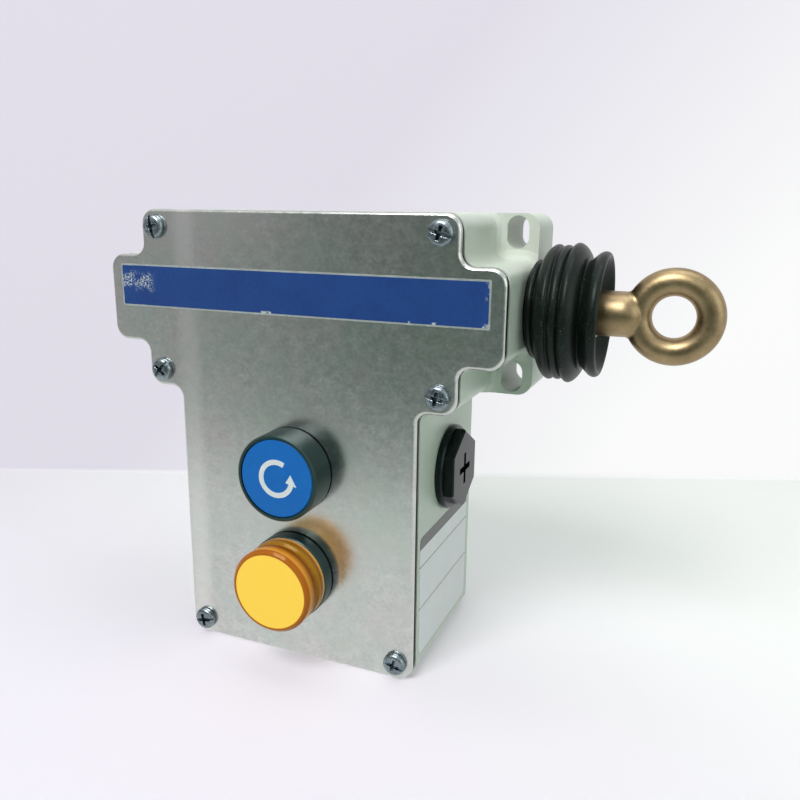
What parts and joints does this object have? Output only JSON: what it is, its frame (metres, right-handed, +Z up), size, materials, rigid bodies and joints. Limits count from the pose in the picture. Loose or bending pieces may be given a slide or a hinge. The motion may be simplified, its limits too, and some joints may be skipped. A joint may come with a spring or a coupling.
{
  "type": "rope pull switch",
  "caption": "Safety rope pull switch: cast T-shaped housing with a steel cover, blue reset button, amber pilot light, rubber bellows and a bronze rope eye.",
  "frame": {"origin": "centre of the four mounting slots, on the flat back face", "axes": "+X along the rod towards the rope, +Y out of the back face into the wall, +Z up; the cover faces -Y"},
  "size_m": [0.1977, 0.0761, 0.1515],
  "materials": {
    "housing_paint": "semi-gloss light grey-green enamel on a casting",
    "cover_zinc": "zinc-plated sheet, mottled and fairly dull",
    "screw_zinc": "bright zinc plate",
    "gasket_rubber": "black cellular rubber",
    "plug_plastic": "glossy black polyamide",
    "bezel_plastic": "dark grey-green satin plastic",
    "cap_blue": "blue moulded plastic",
    "lens_amber": "translucent amber plastic",
    "bulb_glass": "clear glass with a metal base",
    "boot_rubber": "black moulded rubber",
    "eye_bronze": "dull bronze passivated steel",
    "rod_steel": "ground steel",
    "bush_brass": "turned brass",
    "spring_steel": "spring wire",
    "lever_steel": "zinc-plated steel",
    "block_plastic": "black moulded insulation",
    "slide_plastic": "natural acetal",
    "contact_copper": "copper alloy strip",
    "terminal_plastic": "pale moulded insulation"
  },
  "bodies": {
    "body": {"housing": "housing_paint", "cover": "cover_zinc", "cover_gasket": "gasket_rubber", "cover_screws": "screw_zinc", "entry_plugs": "plug_plastic", "plug_seals": "gasket_rubber", "reset_bezel": "bezel_plastic", "reset_seal": "gasket_rubber", "reset_nut": "block_plastic", "reset_spring": "spring_steel", "lamp_base": "bezel_plastic", "lamp_lens": "lens_amber", "lamp_holder": "block_plastic", "lamp_bulb": "bulb_glass", "lamp_seal": "gasket_rubber", "lamp_nut": "block_plastic", "rod_bush": "bush_brass", "bush_nut": "bush_brass", "guide_bush": "bush_brass", "spring_seat": "lever_steel", "rod_spring": "spring_steel", "pivot_pin": "rod_steel", "pivot_clip": "spring_steel", "contact_block": "block_plastic", "fixed_contacts": "contact_copper", "contact_terminals": "screw_zinc", "block_screws": "screw_zinc", "lever_pin": "rod_steel", "lever_spring": "spring_steel", "terminal_block": "terminal_plastic", "terminal_screws": "screw_zinc", "earth_clamp": "lever_steel", "earth_screw": "screw_zinc", "boot": "boot_rubber"},
    "rod": {"pull_rod": "rod_steel", "cam_collar": "lever_steel", "cross_pin": "rod_steel", "eye_washer": "screw_zinc", "eye_bolt": "eye_bronze"},
    "lever": {"trip_lever": "lever_steel"},
    "slide": {"contact_slide": "slide_plastic", "moving_contacts": "contact_copper"},
    "button": {"reset_cap": "cap_blue", "reset_stem": "block_plastic"},
    "reset_arm": {"reset_lever": "lever_steel"}
  },
  "joints": [
    {"name": "rod_slide", "type": "slide", "parent": "body", "child": "rod", "axis": [1, 0, 0], "range_m": [0, 0.02], "stiffness_N_per_m": 2000, "springref_m": -0.01, "deforming": ["boot", "rod_spring"]},
    {"name": "lever_turn", "type": "hinge", "parent": "body", "child": "lever", "pos_m": [0, -0.0268, -0.04], "axis": [0, 1, 0], "range_deg": [0, 28.08]},
    {"name": "slide_travel", "type": "slide", "parent": "body", "child": "slide", "axis": [1, 0, 0], "range_m": [-0.0064, 0]},
    {"name": "reset_push", "type": "slide", "parent": "body", "child": "button", "axis": [0, 1, 0], "range_m": [0, 0.004], "stiffness_N_per_m": 700, "springref_m": -0.002, "deforming": ["reset_spring"]},
    {"name": "reset_arm_turn", "type": "hinge", "parent": "body", "child": "reset_arm", "pos_m": [0, -0.045, -0.0745], "axis": [1, 0, 0], "range_deg": [-11.5, 0], "deforming": ["lever_spring"]}
  ],
  "couplings": [
    {"joint": "lever_turn", "follows": "rod_slide", "rad_per_m": 24.498},
    {"joint": "slide_travel", "follows": "rod_slide", "ratio": -0.3153},
    {"joint": "reset_arm_turn", "follows": "reset_push", "rad_per_m": -50}
  ]
}
